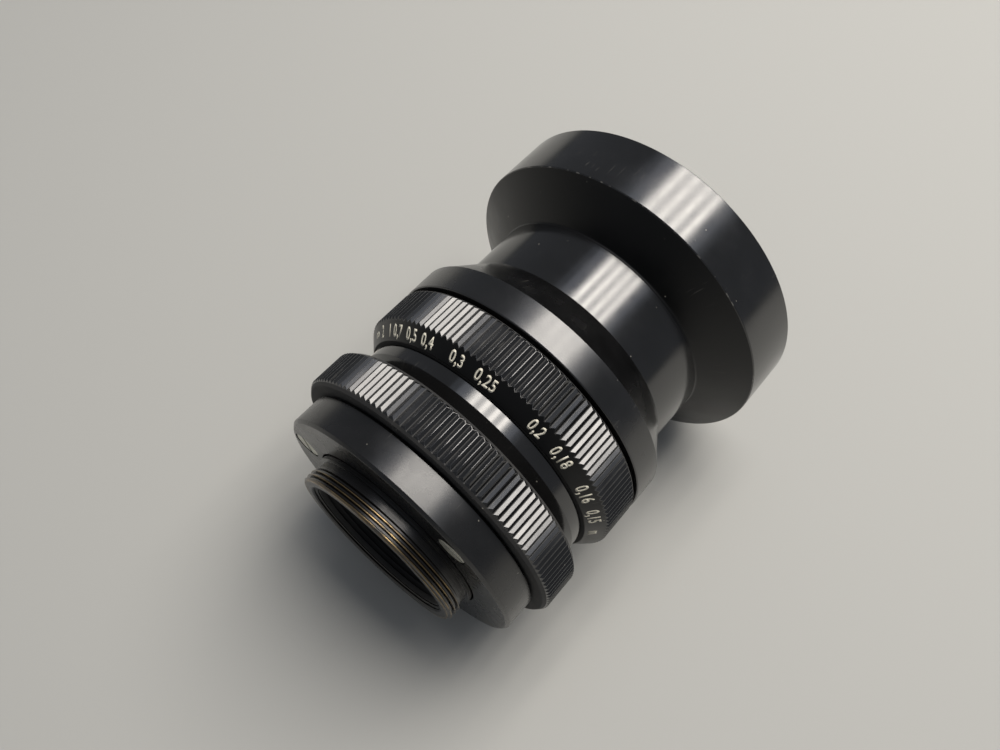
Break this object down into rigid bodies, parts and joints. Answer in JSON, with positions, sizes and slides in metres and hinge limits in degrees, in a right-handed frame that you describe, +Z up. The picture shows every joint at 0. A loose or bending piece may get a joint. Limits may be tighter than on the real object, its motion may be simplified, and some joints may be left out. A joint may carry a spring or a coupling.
{
  "type": "wide-angle screw-mount lens",
  "caption": "Black screw-mount wide-angle lens with a knurled aperture ring, a knurled focus ring with a conical distance scale, and a wide conical hood.",
  "frame": {"origin": "centre of the mount flange's rear face, the register face that seats on the camera", "axes": "+Y along the optical axis towards the hood, +Z up, +X to the right seen from behind"},
  "size_m": [0.0736, 0.0878, 0.0736],
  "materials": {
    "black_anodised": "satin black anodised aluminium with fine turning marks",
    "worn_brass": "brass showing through worn black on the thread",
    "matt_black": "matt black optical anodising",
    "steel": "turned and ground steel",
    "blued_steel": "thin blued spring steel",
    "coated_glass": "polished glass with a single blue-violet coating"
  },
  "bodies": {
    "fixed_barrel": {"mount_thread": "worn_brass", "mount_flange": "black_anodised", "flange_screws": "steel", "rear_baffle": "matt_black", "main_barrel": "black_anodised", "index_ring": "black_anodised", "focus_retaining_ring": "black_anodised", "guide_keys": "steel", "click_ball": "steel", "click_spring": "steel"},
    "aperture_ring": {"aperture_ring": "black_anodised", "aperture_drive_pin": "steel"},
    "focus_ring": {"focus_ring": "black_anodised", "focus_stop_pin": "steel"},
    "lens_unit": {"front_barrel": "black_anodised", "hood": "black_anodised", "front_cell": "matt_black", "front_retaining_ring": "matt_black", "element_1": "coated_glass", "element_2": "coated_glass", "second_retaining_ring": "matt_black", "element_3": "coated_glass", "middle_retaining_ring": "matt_black", "spacer_ring": "matt_black", "element_4": "coated_glass", "fourth_retaining_ring": "matt_black", "iris_housing": "matt_black", "iris_cover": "matt_black", "rear_cell": "matt_black", "element_5": "coated_glass", "element_6": "coated_glass", "rear_spacer": "matt_black", "element_7": "coated_glass", "rear_retaining_ring": "matt_black"},
    "iris_drive_ring": {"iris_drive_ring": "steel"},
    "iris_blade_1": {"iris_blade_1": "blued_steel"},
    "iris_blade_2": {"iris_blade_2": "blued_steel"},
    "iris_blade_3": {"iris_blade_3": "blued_steel"},
    "iris_blade_4": {"iris_blade_4": "blued_steel"},
    "iris_blade_5": {"iris_blade_5": "blued_steel"},
    "iris_blade_6": {"iris_blade_6": "blued_steel"}
  },
  "joints": [
    {"name": "aperture_turn", "type": "hinge", "parent": "fixed_barrel", "child": "aperture_ring", "pos_m": [0, 0.01205, 0], "axis": [0, -1, 0], "range_deg": [0, 42]},
    {"name": "focus_turn", "type": "hinge", "parent": "fixed_barrel", "child": "focus_ring", "pos_m": [0, 0.029, 0], "axis": [0, -1, 0], "range_deg": [0, 151]},
    {"name": "focus_slide", "type": "slide", "parent": "fixed_barrel", "child": "lens_unit", "axis": [0, 1, 0], "range_m": [0, 0.00176]},
    {"name": "iris_ring_turn", "type": "hinge", "parent": "lens_unit", "child": "iris_drive_ring", "pos_m": [0, 0.0206, 0], "axis": [0, -1, 0], "range_deg": [0, 42.1]},
    {"name": "blade_1_swing", "type": "hinge", "parent": "lens_unit", "child": "iris_blade_1", "pos_m": [0.0148, 0.0226, 0], "axis": [0, 1, 0], "range_deg": [0, 28.2]},
    {"name": "blade_2_swing", "type": "hinge", "parent": "lens_unit", "child": "iris_blade_2", "pos_m": [0.0074, 0.0226, -0.01282], "axis": [0, 1, 0], "range_deg": [0, 28.2]},
    {"name": "blade_3_swing", "type": "hinge", "parent": "lens_unit", "child": "iris_blade_3", "pos_m": [-0.0074, 0.0226, -0.01282], "axis": [0, 1, 0], "range_deg": [0, 28.2]},
    {"name": "blade_4_swing", "type": "hinge", "parent": "lens_unit", "child": "iris_blade_4", "pos_m": [-0.0148, 0.0226, 0], "axis": [0, 1, 0], "range_deg": [0, 28.2]},
    {"name": "blade_5_swing", "type": "hinge", "parent": "lens_unit", "child": "iris_blade_5", "pos_m": [-0.0074, 0.0226, 0.01282], "axis": [0, 1, 0], "range_deg": [0, 28.2]},
    {"name": "blade_6_swing", "type": "hinge", "parent": "lens_unit", "child": "iris_blade_6", "pos_m": [0.0074, 0.0226, 0.01282], "axis": [0, 1, 0], "range_deg": [0, 28.2]}
  ],
  "couplings": [
    {"joint": "focus_turn", "follows": "focus_slide", "rad_per_m": 1496},
    {"joint": "iris_ring_turn", "follows": "aperture_turn", "ratio": 1},
    {"joint": "blade_1_swing", "follows": "aperture_turn", "ratio": 0.67},
    {"joint": "blade_2_swing", "follows": "aperture_turn", "ratio": 0.67},
    {"joint": "blade_3_swing", "follows": "aperture_turn", "ratio": 0.67},
    {"joint": "blade_4_swing", "follows": "aperture_turn", "ratio": 0.67},
    {"joint": "blade_5_swing", "follows": "aperture_turn", "ratio": 0.67},
    {"joint": "blade_6_swing", "follows": "aperture_turn", "ratio": 0.67}
  ]
}
